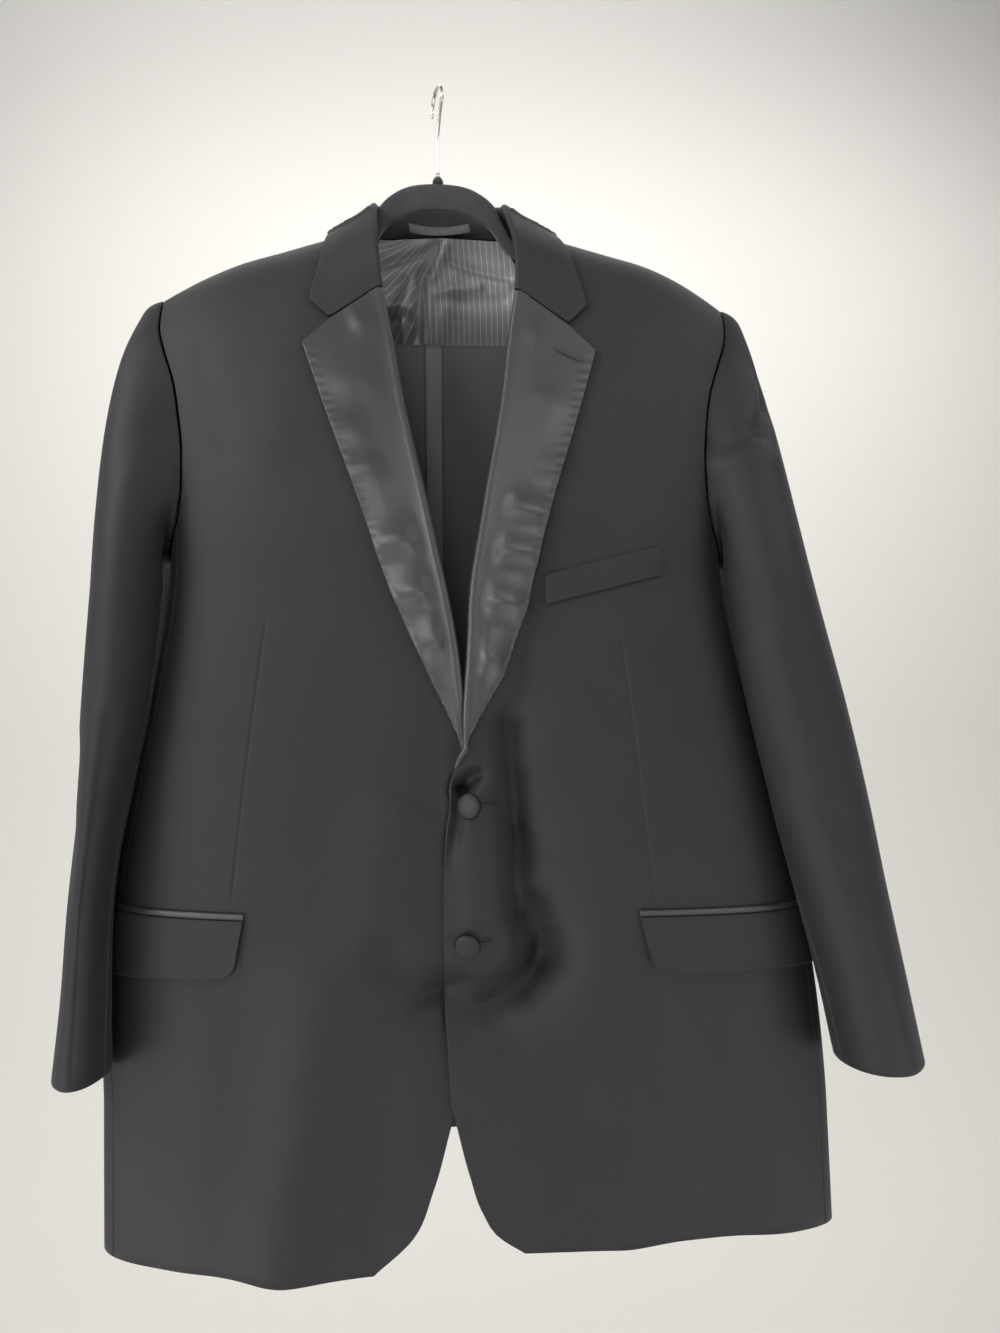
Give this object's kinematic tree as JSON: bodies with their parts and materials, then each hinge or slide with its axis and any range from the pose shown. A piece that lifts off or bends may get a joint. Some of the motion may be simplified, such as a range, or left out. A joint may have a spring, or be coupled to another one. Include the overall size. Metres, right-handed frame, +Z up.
{
  "type": "tuxedo",
  "caption": "Black two-button tuxedo with satin notch lapels hung on a flocked hanger, its trousers folded over the hanger's bar.",
  "frame": {"origin": "inner top of the hanger's hook, where it rests on a rail", "axes": "+Z up, +X towards the wearer's left side, -Y out of the jacket's front"},
  "size_m": [0.6701, 0.162, 0.9649],
  "materials": {
    "wool": "black worsted wool, matt, fine twill",
    "satin": "black satin with a soft sheen",
    "lining": "grey lining with a light pinstripe",
    "label": "bare black woven label",
    "flock": "black velvet flock over a moulded hanger",
    "steel": "bright plated steel wire"
  },
  "bodies": {
    "root": {"front_left": "wool", "front_right": "wool", "side_left": "wool", "side_right": "wool", "back_left": "wool", "back_right": "wool", "top_sleeve_left": "wool", "under_sleeve_left": "wool", "top_sleeve_right": "wool", "under_sleeve_right": "wool", "collar": "wool", "lapel_left": "satin", "lapel_right": "satin", "lining_back": "lining", "neck_label": "label", "welt_chest": "wool", "flap_left": "wool", "flap_right": "wool", "jet_left": "satin", "jet_right": "satin", "button_upper": "satin", "button_lower": "satin", "trouser_leg_outer": "wool", "trouser_leg_inner": "wool", "stripe_outer": "satin", "stripe_inner": "satin", "waistband": "wool", "hanger_body": "flock", "hanger_boss": "flock", "hanger_hook": "steel"}
  },
  "joints": []
}
